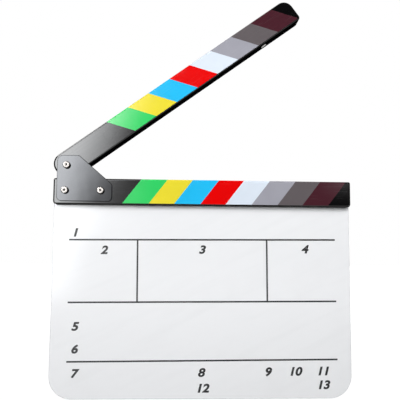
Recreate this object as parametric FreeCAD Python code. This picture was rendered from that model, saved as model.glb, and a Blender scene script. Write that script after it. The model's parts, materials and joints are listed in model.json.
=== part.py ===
import FreeCAD, Part
import math
import os

from FreeCAD import Vector

# Clapperboard: a white slate board under two striped clap sticks, hinged at the left.
# Sizes are in millimetres. X runs to the right, Y away from the viewer and Z up.
# The origin is the middle of the board's bottom edge, half way through its thickness.

# Slate board
board_width = 298.0
board_below_stick = 189.0
board_thickness = 3.0
board_corner_radius = 22.0
board_edge_bevel = 0.4

# Clap sticks, both cut from the same bar
stick_width = 26.0
stick_depth = 18.0
stick_edge_bevel = 1.6
stick_upper_corner_radius = 1.8
stick_lower_corner_radius = 3.5
arm_heel_radius = 11.0
arm_tip_setback = 0.5
arm_tip_upper_radius = 10.0
arm_tip_lower_radius = 2.0

# Groove in the underside of the lower stick, which takes the board
groove_depth = 18.0
groove_clearance = 0.1

# Hinge: where the arm turns, how far it stands open and how it runs
pivot_from_end = 13.1
pivot_below_arm_middle = 1.2
arm_heel_past_pivot = 12.0
closed_gap = 0.9
rest_opening_degrees = 36.3
running_clearance = 0.04
friction_washer_thickness = 0.4
friction_washer_diameter = 14.0
bush_wall = 1.0
bush_seat_clearance = 0.01

# Hinge plates
plate_thickness = 2.0
plate_end_margin = 3.6
plate_bottom_margin = 3.0
plate_above_pivot = 10.0
plate_past_screw = 11.0
plate_top_width = 21.4
plate_right_height = 17.1
plate_edge_bevel = 0.5
plate_top_left_radius = 6.0
plate_top_right_radius = 3.0
plate_shoulder_radius = 5.0
plate_bottom_right_radius = 4.5
plate_bottom_left_radius = 5.0

# Cap screws and their washers and nuts. The pivot's nut has a collar that holds a nylon ring.
screw_diameter = 4.0
plate_screw_from_end = 12.0
plate_screw_spacing = 35.0
plate_screw_above_bottom = 13.7
screw_hole_clearance = 0.15
screw_head_diameter = 7.0
screw_head_height = 4.0
screw_head_bevel = 0.4
socket_across_flats = 2.5
socket_depth = 2.0
screw_past_nut = 1.2
washer_diameter = 9.0
washer_thickness = 0.8
nut_across_flats = 7.0
nut_height = 3.2
nut_bevel = 0.5
collar_diameter = 6.4
collar_height = 1.8
lock_ring_diameter = 5.4
lock_ring_height = 1.5
thread_clearance = 0.05

# Countersunk screws through the back of the lower stick and the board
board_screw_count = 2
board_screw_spacing = 110.0
board_screw_from_end = 22.0
board_screw_above_groove_mouth = 9.0
board_screw_diameter = 3.0
board_screw_head_diameter = 6.0
board_screw_bite = 4.5
board_screw_clearance = 0.1
recess_length = 3.2
recess_width = 0.7
recess_depth = 1.1

# Magnets in the clapping faces
magnet_diameter = 6.0
magnet_thickness = 3.0
magnet_from_tip = 47.4
magnet_clearance = 0.1

# Stripe labels on the fronts of the sticks
label_thickness = 0.2
label_plate_gap = 1.5
label_tip_margin = 3.4
label_corner_radius = 1.0

# Places worked out from the sizes above
left_end = -board_width / 2
right_end = board_width / 2
stick_bottom = board_below_stick
stick_top = stick_bottom + stick_width
stick_front = -stick_depth / 2
stick_back = stick_depth / 2
board_top = stick_bottom + groove_depth

arm_bottom = stick_top + closed_gap
arm_top = arm_bottom + stick_width
pivot_x = left_end + pivot_from_end
pivot_z = arm_bottom + stick_width / 2 - pivot_below_arm_middle
arm_depth = stick_depth - 2 * friction_washer_thickness
arm_front = -arm_depth / 2
arm_heel = pivot_x - arm_heel_past_pivot
arm_tip = right_end - arm_tip_setback

left_screw_x = left_end + plate_screw_from_end
right_screw_x = left_screw_x + plate_screw_spacing
plate_screw_z = stick_bottom + plate_screw_above_bottom

plate_left = left_end + plate_end_margin
plate_right = right_screw_x + plate_past_screw
plate_bottom = stick_bottom + plate_bottom_margin
plate_top = pivot_z + plate_above_pivot
plate_front = stick_front - plate_thickness
plate_back = stick_back + plate_thickness

screw_hole_diameter = screw_diameter + 2 * screw_hole_clearance
bush_bore = screw_diameter + 2 * running_clearance
bush_diameter = bush_bore + 2 * bush_wall
nut_bore = screw_diameter + 2 * thread_clearance
nut_front = plate_back + washer_thickness
nut_back = nut_front + nut_height
collar_back = nut_back + collar_height

board_screw_z = stick_bottom + board_screw_above_groove_mouth
magnet_x = right_end - magnet_from_tip
label_start = plate_right + label_plate_gap

along_y = Vector(0, 1, 0)
along_z = Vector(0, 0, 1)
touching = 1e-6


def rounded_outline(corners):
    """Closed wire in the XZ plane through corners (x, z, radius), each rounded to its radius."""
    points = [Vector(x, 0, z) for x, z, radius in corners]
    bends = []
    for i, (x, z, radius) in enumerate(corners):
        to_last = (points[i - 1] - points[i]).normalize()
        to_next = (points[(i + 1) % len(points)] - points[i]).normalize()
        inward = (to_last + to_next).normalize()
        half_angle = to_last.getAngle(to_next) / 2
        setback = radius / math.tan(half_angle)
        crown = radius / math.sin(half_angle) - radius
        bends.append((points[i] + to_last * setback, points[i] + inward * crown, points[i] + to_next * setback))
    edges = []
    for i, (start, middle, end) in enumerate(bends):
        last_end = bends[i - 1][2]
        if last_end.distanceToPoint(start) > touching:
            edges.append(Part.LineSegment(last_end, start).toShape())
        if start.distanceToPoint(end) > touching:
            edges.append(Part.Arc(start, middle, end).toShape())
    return Part.Wire(edges)


def slab(corners, front, depth):
    """Flat piece of one outline, from y = front to y = front + depth."""
    piece = Part.Face(rounded_outline(corners)).extrude(along_y * depth)
    piece.translate(along_y * front)
    return piece


def bevel_rims(piece, size, *levels):
    """Take off the outline's edges that lie at the given y levels."""
    def lies_at(edge, level):
        box = edge.BoundBox
        return abs(box.YMin - level) < touching and abs(box.YMax - level) < touching

    rims = [edge for edge in piece.Edges if any(lies_at(edge, level) for level in levels)]
    return piece.makeChamfer(size, rims)


def rod(x, z, front, back, diameter):
    """Round bar along Y."""
    return Part.makeCylinder(diameter / 2, back - front, Vector(x, front, z), along_y)


def ring(x, z, front, back, outer_diameter, inner_diameter):
    """Round washer or sleeve along Y."""
    return rod(x, z, front, back, outer_diameter).cut(rod(x, z, front, back, inner_diameter))


def hexagon_bar(x, z, front, back, across_flats):
    """Six-sided bar along Y, with a corner at the top."""
    reach = across_flats / math.sqrt(3)
    turns = [i * math.pi / 3 for i in range(6)]
    points = [Vector(x + reach * math.sin(turn), front, z + reach * math.cos(turn)) for turn in turns]
    return Part.Face(Part.makePolygon(points + points[:1])).extrude(along_y * (back - front))


def turned(x, z, profile):
    """Piece turned about an axis along Y through (x, z), from points (radius, y) of its half section."""
    points = [Vector(radius, y, 0) for radius, y in profile]
    piece = Part.Face(Part.makePolygon(points + points[:1])).revolve(Vector(), along_y, 360)
    piece.translate(Vector(x, 0, z))
    if piece.Volume < 0:
        piece.reverse()
    return piece


def opened(piece):
    """Turn a piece of the arm from the closed place, where it is drawn, to the resting opening."""
    piece.rotate(Vector(pivot_x, 0, pivot_z), -along_y, rest_opening_degrees)
    return piece


def plate_screw_places():
    """Name and place of the two screws that hold the hinge plates to the lower stick."""
    return {"left_plate": (left_screw_x, plate_screw_z), "right_plate": (right_screw_x, plate_screw_z)}


def board_screw_places():
    """X of each countersunk screw, from the left."""
    last = right_end - board_screw_from_end
    return [last - board_screw_spacing * i for i in reversed(range(board_screw_count))]


def slate_board():
    corners = [
        (left_end, 0, board_corner_radius),
        (right_end, 0, board_corner_radius),
        (right_end, board_top, 0),
        (left_end, board_top, 0),
    ]
    front, back = -board_thickness / 2, board_thickness / 2
    board = bevel_rims(slab(corners, front, board_thickness), board_edge_bevel, front, back)
    for x, z in plate_screw_places().values():
        board = board.cut(rod(x, z, front, back, screw_hole_diameter))
    for x in board_screw_places():
        hole_diameter = board_screw_diameter + 2 * board_screw_clearance
        board = board.cut(rod(x, board_screw_z, front, back, hole_diameter))
    return board


def lower_stick():
    corners = [
        (left_end, stick_bottom, stick_lower_corner_radius),
        (right_end, stick_bottom, stick_lower_corner_radius),
        (right_end, stick_top, stick_upper_corner_radius),
        (left_end, stick_top, stick_upper_corner_radius),
    ]
    stick = bevel_rims(slab(corners, stick_front, stick_depth), stick_edge_bevel, stick_front, stick_back)
    groove_width = board_thickness + 2 * groove_clearance
    groove_corner = Vector(left_end, -groove_width / 2, stick_bottom)
    stick = stick.cut(Part.makeBox(board_width, groove_width, groove_depth, groove_corner))
    for x, z in plate_screw_places().values():
        stick = stick.cut(rod(x, z, stick_front, stick_back, screw_hole_diameter))
    for x in board_screw_places():
        stick = stick.cut(countersunk_form(x, board_screw_clearance))
    return stick.cut(magnet_form(stick_top, -1, magnet_clearance))


def arm_stick():
    corners = [
        (arm_heel, arm_bottom, arm_heel_radius),
        (arm_tip, arm_bottom, arm_tip_lower_radius),
        (arm_tip, arm_top, arm_tip_upper_radius),
        (arm_heel, arm_top, arm_heel_radius),
    ]
    arm = bevel_rims(slab(corners, arm_front, arm_depth), stick_edge_bevel, arm_front, -arm_front)
    bore = bush_diameter + 2 * bush_seat_clearance
    arm = arm.cut(rod(pivot_x, pivot_z, arm_front, -arm_front, bore))
    return opened(arm.cut(magnet_form(arm_bottom, 1, magnet_clearance)))


def hinge_plate(front, outer_face):
    shoulder = plate_bottom + plate_right_height
    corners = [
        (plate_left, plate_bottom, plate_bottom_left_radius),
        (plate_right, plate_bottom, plate_bottom_right_radius),
        (plate_right, shoulder, plate_shoulder_radius),
        (plate_left + plate_top_width, plate_top, plate_top_right_radius),
        (plate_left, plate_top, plate_top_left_radius),
    ]
    plate = bevel_rims(slab(corners, front, plate_thickness), plate_edge_bevel, outer_face)
    for x, z in [(pivot_x, pivot_z), *plate_screw_places().values()]:
        plate = plate.cut(rod(x, z, front, front + plate_thickness, screw_hole_diameter))
    return plate


def stripe_label(front, bottom, tip, tip_radius):
    """Label on the flat of a stick's front, from beside the hinge plate to near the tip."""
    low = bottom + stick_edge_bevel
    high = bottom + stick_width - stick_edge_bevel
    end = tip - label_tip_margin
    corners = [
        (label_start, low, label_corner_radius),
        (end, low, label_corner_radius),
        (end, high, tip_radius),
        (label_start, high, label_corner_radius),
    ]
    return slab(corners, front - label_thickness, label_thickness)


def cap_screw(x, z, last_nut_face):
    """Cap screw: its head lies on the front plate and its shank ends just past the nut."""
    head_front = plate_front - screw_head_height
    tail = last_nut_face + screw_past_nut
    head_radius, shank_radius = screw_head_diameter / 2, screw_diameter / 2
    screw = turned(x, z, [
        (0, head_front),
        (head_radius - screw_head_bevel, head_front),
        (head_radius, head_front + screw_head_bevel),
        (head_radius, plate_front),
        (shank_radius, plate_front),
        (shank_radius, tail),
        (0, tail),
    ])
    return screw.cut(hexagon_bar(x, z, head_front, head_front + socket_depth, socket_across_flats))


def plain_nut(x, z):
    """Hexagon nut whose back corners are taken off."""
    corner_radius = nut_across_flats / math.sqrt(3)
    envelope = turned(x, z, [
        (0, nut_front),
        (corner_radius, nut_front),
        (corner_radius, nut_back - nut_bevel),
        (corner_radius - 2 * nut_bevel, nut_back),
        (0, nut_back),
    ])
    nut = hexagon_bar(x, z, nut_front, nut_back, nut_across_flats).common(envelope)
    return nut.cut(rod(x, z, nut_front, nut_back, nut_bore))


def lock_nut(x, z):
    """The plain nut with a round collar behind it, hollowed for the nylon ring."""
    collar_radius = collar_diameter / 2
    ring_front = collar_back - lock_ring_height
    collar = turned(x, z, [
        (nut_bore / 2, nut_back - nut_bevel),
        (collar_radius, nut_back - nut_bevel),
        (collar_radius, collar_back - nut_bevel),
        (collar_radius - nut_bevel, collar_back),
        (nut_bore / 2, collar_back),
    ])
    return plain_nut(x, z).fuse(collar).cut(rod(x, z, ring_front, collar_back, lock_ring_diameter))


def lock_ring(x, z):
    return ring(x, z, collar_back - lock_ring_height, collar_back, lock_ring_diameter, nut_bore)


def nut_washer(x, z):
    return ring(x, z, plate_back, nut_front, washer_diameter, screw_hole_diameter)


def friction_washer(front):
    back = front + friction_washer_thickness
    return opened(ring(pivot_x, pivot_z, front, back, friction_washer_diameter, screw_hole_diameter))


def pivot_bush():
    return opened(ring(pivot_x, pivot_z, arm_front, -arm_front, bush_diameter, bush_bore))


def countersunk_form(x, clearance):
    """Countersunk screw, head flush with the lower stick's back. With a clearance, the hole for it."""
    head_radius = board_screw_head_diameter / 2 + clearance
    shank_radius = board_screw_diameter / 2 + clearance
    tip = -board_thickness / 2 - groove_clearance - board_screw_bite - clearance
    return turned(x, board_screw_z, [
        (0, stick_back),
        (head_radius, stick_back),
        (shank_radius, stick_back - (head_radius - shank_radius)),
        (shank_radius, tip),
        (0, tip),
    ])


def board_screw(x):
    """Countersunk screw with a cross recess in its head."""
    screw = countersunk_form(x, 0)
    for wide, high in [(recess_length, recess_width), (recess_width, recess_length)]:
        corner = Vector(x - wide / 2, stick_back - recess_depth, board_screw_z - high / 2)
        screw = screw.cut(Part.makeBox(wide, recess_depth, high, corner))
    return screw


def magnet_form(face_z, inward, clearance):
    """Disc let into a clapping face. With a clearance, the pocket for it."""
    radius = magnet_diameter / 2 + clearance
    return Part.makeCylinder(radius, magnet_thickness, Vector(magnet_x, 0, face_z), along_z * inward)


def all_pieces():
    pieces = {
        "slate_board": slate_board(),
        "lower_stick": lower_stick(),
        "arm_stick": arm_stick(),
        "front_hinge_plate": hinge_plate(plate_front, plate_front),
        "rear_hinge_plate": hinge_plate(stick_back, plate_back),
        "pivot_bush": pivot_bush(),
        "front_friction_washer": friction_washer(stick_front),
        "rear_friction_washer": friction_washer(-arm_front),
        "lower_magnet": magnet_form(stick_top, -1, 0),
        "arm_magnet": opened(magnet_form(arm_bottom, 1, 0)),
        "lower_stripe_label": stripe_label(stick_front, stick_bottom, right_end, label_corner_radius),
        "arm_stripe_label": opened(
            stripe_label(arm_front, arm_bottom, arm_tip, arm_tip_upper_radius - label_tip_margin)
        ),
    }
    pieces["pivot_screw"] = cap_screw(pivot_x, pivot_z, collar_back)
    pieces["pivot_washer"] = nut_washer(pivot_x, pivot_z)
    pieces["pivot_lock_nut"] = lock_nut(pivot_x, pivot_z)
    pieces["pivot_lock_ring"] = lock_ring(pivot_x, pivot_z)
    for place, (x, z) in plate_screw_places().items():
        pieces[place + "_screw"] = cap_screw(x, z, nut_back)
        pieces[place + "_washer"] = nut_washer(x, z)
        pieces[place + "_nut"] = plain_nut(x, z)
    for number, x in enumerate(board_screw_places(), start=1):
        pieces[f"board_screw_{number}"] = board_screw(x)
    return pieces


def main():
    os.makedirs("parts", exist_ok=True)
    for node, piece in all_pieces().items():
        if len(piece.Solids) != 1 or not piece.isValid():
            raise ValueError(f"{node} is not one valid solid")
        piece.Solids[0].exportStep(f"parts/{node}.step")
        print(f"{node}: {piece.Volume:.1f} cubic mm")


main()
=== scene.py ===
"""Looks of a clapperboard, laid out as a Blender add-on and run as a script.

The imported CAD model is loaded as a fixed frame. Rounded, bored and printed pieces stand for its nodes,
each piece gets a procedural finish, and the stage gives it studio light and the photograph's camera.
"""

import json
import math

import bmesh
import bpy
from mathutils import Matrix, Vector

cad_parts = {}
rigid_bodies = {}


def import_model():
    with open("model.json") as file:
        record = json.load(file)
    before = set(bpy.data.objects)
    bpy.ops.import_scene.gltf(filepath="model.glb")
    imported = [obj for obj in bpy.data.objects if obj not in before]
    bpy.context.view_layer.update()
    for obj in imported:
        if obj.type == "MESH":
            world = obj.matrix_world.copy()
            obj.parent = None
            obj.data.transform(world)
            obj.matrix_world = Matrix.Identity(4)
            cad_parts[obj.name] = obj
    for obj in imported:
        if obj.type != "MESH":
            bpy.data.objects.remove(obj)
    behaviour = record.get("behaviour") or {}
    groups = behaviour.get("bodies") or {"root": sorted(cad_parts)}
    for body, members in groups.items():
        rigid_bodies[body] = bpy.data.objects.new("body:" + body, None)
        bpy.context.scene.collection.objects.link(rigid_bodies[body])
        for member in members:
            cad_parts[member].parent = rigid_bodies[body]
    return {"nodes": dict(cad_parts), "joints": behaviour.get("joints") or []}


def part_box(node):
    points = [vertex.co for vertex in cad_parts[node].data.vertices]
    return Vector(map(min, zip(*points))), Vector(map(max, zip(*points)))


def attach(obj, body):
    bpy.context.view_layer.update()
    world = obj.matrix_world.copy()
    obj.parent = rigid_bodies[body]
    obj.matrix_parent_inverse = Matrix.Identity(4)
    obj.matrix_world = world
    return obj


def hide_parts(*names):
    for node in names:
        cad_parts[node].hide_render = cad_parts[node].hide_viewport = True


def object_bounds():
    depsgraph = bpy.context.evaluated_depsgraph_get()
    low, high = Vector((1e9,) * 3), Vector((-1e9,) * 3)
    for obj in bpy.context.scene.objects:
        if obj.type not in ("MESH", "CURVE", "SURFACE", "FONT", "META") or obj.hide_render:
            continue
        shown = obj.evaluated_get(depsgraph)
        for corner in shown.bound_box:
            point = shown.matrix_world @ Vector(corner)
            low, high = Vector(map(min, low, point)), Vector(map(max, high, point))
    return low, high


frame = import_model()
cad_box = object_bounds()

bl_info = {
    "name": "Clapperboard looks",
    "version": (1, 0, 0),
    "blender": (4, 5, 0),
    "location": "View3D > Sidebar > Clapperboard",
    "description": "Builds the visible pieces of a clapperboard around its CAD frame",
    "category": "Object",
}

MM = 0.001

# The hinge, as the frame gives it, and how far the arm stands open at rest
hinge = frame["joints"][0]
PIVOT = Vector(hinge["pos_m"])
SLATE, ARM = hinge["parent"], hinge["child"]
OPENING = math.radians(36.3)

# Fineness of the meshes
ARC_STEP = math.radians(5)
RIM_STEPS = 5
HOLDING_DISTANCE = 0.3 * MM
SAME_PLACE = 0.01 * MM
SHARP_ANGLE = math.radians(32)
BORE_SIDES = 48

# Axes of the bores
THROUGH = Vector((0, 1, 0))
UP = Vector((0, 0, 1))

# M4 screws and the holes they pass through
SCREW_DIAMETER = 4.0 * MM
SCREW_HOLE_RADIUS = 2.15 * MM
PLATE_SCREWS = ("left_plate_screw", "right_plate_screw")
BOARD_SCREWS = ("board_screw_1", "board_screw_2")

# Where a piece keeps its finishes: the board and plates have the first two, the sticks have all
FACE, EDGE, MATTE, STRIPED = range(4)


def node_middle(node):
    low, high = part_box(node)
    return (low + high) / 2


def on_axis(node, y):
    """A place at this y on the axis of a screw, nut or washer."""
    middle = node_middle(node)
    return Vector((middle.x, y, middle.z))


def own_box(node, placing):
    """Lowest and highest corner of a CAD node in a frame of its own."""
    back = placing.inverted()
    points = [back @ vertex.co for vertex in frame["nodes"][node].data.vertices]
    return tuple(Vector(pick(point[axis] for point in points) for axis in range(3)) for pick in (min, max))


# Each stick's own frame: X along it from the pivot, Y through it, Z up from the edge that claps
stick_low, stick_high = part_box("lower_stick")
LOWER_FRAME = Matrix.Translation((PIVOT.x, 0, stick_high.z))
arm_turn = Matrix.Translation(PIVOT) @ Matrix.Rotation(-OPENING, 4, "Y")
ARM_FRAME = arm_turn @ Matrix.Translation((0, 0, own_box("arm_stick", arm_turn)[0].z))


# Sizes and colours that a user would change


def linear(*display):
    """Display values from 0 to 255 as scene values, by the sRGB curve."""
    shares = [value / 255 for value in display]
    return tuple(v / 12.92 if v <= 0.04045 else ((v + 0.055) / 1.055) ** 2.4 for v in shares)


def length(name, description, millimetres):
    return bpy.props.FloatProperty(
        name=name, description=description, default=millimetres * MM, min=0,
        subtype="DISTANCE", unit="LENGTH",
    )


def colour(name, description, *display):
    return bpy.props.FloatVectorProperty(
        name=name, description=description, default=linear(*display), size=3, min=0, max=1, subtype="COLOR"
    )


class SlateSizes(bpy.types.PropertyGroup):
    """Sizes of the rounded, cut and printed forms."""

    board_corner: length("Board corner", "Radius of the board's lower corners", 22)
    board_rim: length("Board rim", "Rounding of the board's edges", 0.4)
    stick_rim: length("Stick rim", "Rounding of the sticks' long edges", 1.6)
    stick_upper_corner: length("Upper corner", "Radius of the lower stick's upper corners", 1.8)
    stick_lower_corner: length("Lower corner", "Radius of the lower stick's lower corners", 3.5)
    heel_corner: length("Heel corner", "Radius of the arm's corners at the hinge", 11.1)
    tip_upper_corner: length("Tip upper corner", "Radius of the arm's upper tip corner", 10.1)
    tip_lower_corner: length("Tip lower corner", "Radius of the arm's lower tip corner", 3.5)
    label_corner: length("Label corner", "Radius of the labels' corners", 1)
    groove_play: length("Groove play", "Clearance of the board in the lower stick's groove", 0.1)
    plate_top_width: length("Plate top width", "Length of the hinge plates' top edge", 21.4)
    plate_right_height: length("Plate right height", "Length of the hinge plates' right edge", 17.1)
    plate_rim: length("Plate rim", "Rounding of the hinge plates' outer edges", 0.5)
    lower_stripe_start: length("Lower stripe start", "Distance of the lower stripes from the pivot", 73.4)
    arm_stripe_start: length("Arm stripe start", "Distance of the arm's stripes from the pivot", 75.9)
    stripe_pitch: length("Stripe pitch", "Width of one stripe along the stick", 25.8)
    stripe_slant: bpy.props.FloatProperty(
        name="Stripe slant", description="How far a stripe leans back for each unit of height", default=0.767
    )
    form_line: length("Form line", "Width of the printed lines", 1.6)
    numeral_height: length("Numeral height", "Height of the printed numerals", 8)
    thread_pitch: length("Thread pitch", "Pitch of the screw threads", 0.7)


class SlateColours(bpy.types.PropertyGroup):
    """Colours of the finishes."""

    board: colour("Board", "White writing face", 248, 248, 249)
    board_edge: colour("Board edge", "Cut edge of the board", 206, 208, 212)
    lacquer: colour("Lacquer", "Black lacquer of the sticks", 10, 9, 10)
    scuff: colour("Scuff", "Worn lacquer along the edges", 58, 50, 46)
    paint: colour("Paint", "Black paint of the hinge plates", 14, 14, 16)
    primer: colour("Primer", "Worn paint along the plates' edges", 74, 75, 80)
    ink: colour("Ink", "Printed lines and numerals", 16, 15, 17)
    steel: colour("Steel", "Screws, nuts and washers", 178, 173, 169)
    zinc: colour("Zinc", "Board screws", 185, 187, 190)
    nickel: colour("Nickel", "Magnets", 135, 133, 129)
    brass: colour("Brass", "Pivot bush", 214, 184, 118)
    nylon: colour("Nylon", "Lock ring and friction washers", 232, 230, 222)
    stripe_green: colour("Green", "First stripe from the hinge", 50, 210, 102)
    stripe_yellow: colour("Yellow", "Second stripe", 239, 222, 54)
    stripe_blue: colour("Blue", "Third stripe", 37, 191, 244)
    stripe_red: colour("Red", "Fourth stripe", 233, 2, 3)
    stripe_white: colour("White", "Fifth stripe", 224, 233, 244)
    stripe_light_grey: colour("Light grey", "Sixth stripe", 162, 161, 170)
    stripe_grey: colour("Grey", "Seventh stripe", 100, 93, 95)
    stripe_maroon: colour("Maroon", "Eighth stripe", 72, 33, 42)


# The stripes in their order from the hinge
STRIPES = ("green", "yellow", "blue", "red", "white", "light_grey", "grey", "maroon")


# Nodes, written as expressions


def find_socket(sockets, key):
    """A socket by its number, identifier or name."""
    if isinstance(key, int):
        return sockets[key]
    for socket in sockets:
        if socket.identifier == key:
            return socket
    return sockets[key]


def arithmetic(operation):
    """Two methods that add a Math node: one for a wire before an operator, one for a wire after it."""

    def before(wire, other):
        return wire.maths(operation, other)

    def after(wire, other):
        return wire.tree.node("ShaderNodeMath", {"operation": operation}, {0: other, 1: wire})

    return before, after


class Wire:
    """One output of a node. Arithmetic on wires adds Math nodes to their tree."""

    __add__, __radd__ = arithmetic("ADD")
    __sub__, __rsub__ = arithmetic("SUBTRACT")
    __mul__, __rmul__ = arithmetic("MULTIPLY")
    __truediv__, __rtruediv__ = arithmetic("DIVIDE")
    __pow__, __rpow__ = arithmetic("POWER")

    def __init__(self, tree, socket):
        self.tree = tree
        self.socket = socket

    def __neg__(self):
        return -1 * self

    def __abs__(self):
        return self.maths("ABSOLUTE")

    def maths(self, operation, *others):
        """A Math node on this wire and, where it takes more, on others."""
        return self.tree.node("ShaderNodeMath", {"operation": operation}, dict(enumerate((self, *others))))

    def output(self, key):
        """Another output of the same node."""
        return Wire(self.tree, find_socket(self.socket.node.outputs, key))


class Tree:
    """The nodes of a material, a world, a lamp or a geometry group, filled through one method."""

    def __init__(self, owner):
        self.owner = owner
        self.graph = owner
        if not isinstance(owner, bpy.types.NodeTree):
            owner.use_nodes = True
            self.graph = owner.node_tree
            self.graph.nodes.clear()

    def node(self, kind, settings=None, sockets=None, output=0):
        """Add a node, make its settings, set or link its sockets, and return one of its outputs."""
        made = self.graph.nodes.new(kind)
        for name, value in (settings or {}).items():
            if name == "stops":
                set_stops(made.color_ramp, value)
            else:
                setattr(made, name, value)
        for key, value in (sockets or {}).items():
            socket = find_socket(made.inputs, key)
            wires = value if isinstance(value, list) else [value]
            if isinstance(wires[0], Wire):
                for wire in wires:
                    self.graph.links.new(wire.socket, socket)
            elif socket.type == "RGBA":
                socket.default_value = (*value, 1.0)
            else:
                socket.default_value = value
        return Wire(self, find_socket(made.outputs, output)) if len(made.outputs) else None


def set_stops(ramp, stops):
    """Give a colour ramp hard stops of (position, colour)."""
    ramp.interpolation = "CONSTANT"
    while len(ramp.elements) < len(stops):
        ramp.elements.new(1.0)
    for element, (position, shade) in zip(ramp.elements, stops):
        element.position = position
        element.color = (*shade, 1.0)


def xyz(tree, vector):
    split = tree.node("ShaderNodeSeparateXYZ", {}, {"Vector": vector})
    return [split.output(axis) for axis in "XYZ"]


def rise(tree, value, low, high):
    """0 below low, 1 above high, and a smooth step between."""
    limits = {"Value": value, "From Min": low, "From Max": high}
    return tree.node("ShaderNodeMapRange", {"interpolation_type": "SMOOTHSTEP"}, limits)


# Shader building blocks


def new_finish(name, placing=None):
    """Start a finish: its tree, and places on the object or in a stick's own frame."""
    tree = Tree(bpy.data.materials.new(name))
    places = tree.node("ShaderNodeTexCoord", output="Object")
    if placing is not None:
        turned_back = {"Vector": places, "Location": placing.translation, "Rotation": placing.to_euler()}
        places = tree.node("ShaderNodeMapping", {"vector_type": "TEXTURE"}, turned_back)
    return tree, places


def close_finish(tree, sockets):
    """End a finish in a principled surface with these sockets, and return its material."""
    surface = tree.node("ShaderNodeBsdfPrincipled", {}, sockets)
    tree.node("ShaderNodeOutputMaterial", {}, {"Surface": surface})
    return tree.owner


def noise(tree, places, *sizes, detail):
    """Soft noise about 0.5 whose features have one size, or one along each axis, in millimetres."""
    scale = [size * MM for size in (sizes if len(sizes) == 3 else sizes * 3)]
    scaled = tree.node("ShaderNodeMapping", {"vector_type": "TEXTURE"}, {"Vector": places, "Scale": scale})
    return tree.node("ShaderNodeTexNoise", {}, {"Vector": scaled, "Scale": 1.0, "Detail": detail})


def patches(tree, places, *sizes, detail, low, high):
    """Patches where the noise lies above a level, with soft borders from low to high."""
    return rise(tree, noise(tree, places, *sizes, detail=detail), low, high)


def along(tree, vector, direction):
    """How far a vector reaches along a direction."""
    sockets = {0: vector, 1: direction}
    return tree.node("ShaderNodeVectorMath", {"operation": "DOT_PRODUCT"}, sockets, "Value")


def mix(tree, share, first, second):
    """The first colour, going over to the second as the share rises."""
    sockets = {"Factor_Float": share, "A_Color": first, "B_Color": second}
    return tree.node("ShaderNodeMix", {"data_type": "RGBA"}, sockets, "Result_Color")


def bump(tree, height, depth):
    return tree.node("ShaderNodeBump", {}, {"Height": height, "Distance": depth, "Strength": 1.0})


def marks(tree, layer):
    """What a layer of the mesh says."""
    return tree.node("ShaderNodeAttribute", {"attribute_name": layer}, output="Fac")


def edge_wear(tree, places, patch_size):
    """Broken wear along the rims that the mesh marks."""
    return marks(tree, "edge") * patches(tree, places, patch_size, detail=4, low=0.54, high=0.66)


def ray_kinds(tree):
    """1 for rays from the camera, and 1 for rays that a surface has reflected or let through."""
    rays = tree.node("ShaderNodeLightPath")
    passed_on = rays.output("Is Glossy Ray").maths("MAXIMUM", rays.output("Is Transmission Ray"))
    return rays.output("Is Camera Ray"), passed_on


def dimmed(shade, share):
    return tuple(share * part for part in shade)


def grey(level):
    return level, level, level


# Finishes


def dry_wipe_face(colours):
    """White acrylic with faint wipe marks and hair scratches."""
    tree, places = new_finish("dry_wipe_acrylic")
    wiping_slant = math.radians(24)
    slanted = tree.node("ShaderNodeMapping", {}, {"Vector": places, "Rotation": (0, wiping_slant, 0)})
    wipes = patches(tree, slanted, 90, 90, 9, detail=3, low=0.45, high=0.75)
    hairs = patches(tree, slanted, 60, 60, 0.35, detail=1, low=0.66, high=0.76)
    smudge = patches(tree, places, 45, detail=3, low=0.5, high=0.75)
    return close_finish(tree, {
        "Base Color": mix(tree, 0.35 * wipes + 0.25 * smudge, colours.board, dimmed(colours.board, 0.94)),
        "Roughness": 0.1 + 0.1 * wipes + 0.08 * smudge + 0.1 * hairs,
        "Normal": bump(tree, noise(tree, places, 14, detail=0), 0.01 * MM),
    })


def sawn_acrylic(colours):
    """The board's cut edge, with fine saw lines."""
    tree, places = new_finish("sawn_acrylic_edge")
    lines = noise(tree, places, 0.5, 8, 0.5, detail=2)
    return close_finish(tree, {
        "Base Color": mix(tree, lines, colours.board_edge, dimmed(colours.board_edge, 0.8)),
        "Roughness": 0.35 + 0.25 * lines,
        "Normal": bump(tree, lines, 0.02 * MM),
    })


def lacquered_face(colours, name, placing):
    """Glossy black lacquer through which the wood's grain shows faintly."""
    tree, places = new_finish(name + "_face_lacquer", placing)
    grain = noise(tree, places, 45, 1.2, 1.2, detail=3)
    dust = patches(tree, places, 1.1, detail=1, low=0.72, high=0.78)
    rubbed = patches(tree, places, 30, 12, 12, detail=4, low=0.45, high=0.75)
    return close_finish(tree, {
        "Base Color": mix(tree, 0.3 * dust + 0.06 * rubbed, colours.lacquer, colours.scuff),
        "Roughness": 0.05 + 0.06 * rubbed + 0.05 * grain,
        "Normal": bump(tree, grain, 0.012 * MM),
    })


def lacquered_edge(colours, name, placing):
    """Duller lacquer on the narrow sides, the back and the rims, worn here and there along the rims."""
    tree, places = new_finish(name + "_edge_lacquer", placing)
    grain = noise(tree, places, 30, 0.8, 0.8, detail=3)
    worn = edge_wear(tree, places, 7)
    return close_finish(tree, {
        "Base Color": mix(tree, 0.6 * worn, colours.lacquer, colours.scuff),
        "Roughness": 0.5 + 0.12 * grain + 0.1 * worn,
        "Specular IOR Level": 0.15,
        "Normal": bump(tree, grain, 0.006 * MM),
    })


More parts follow.
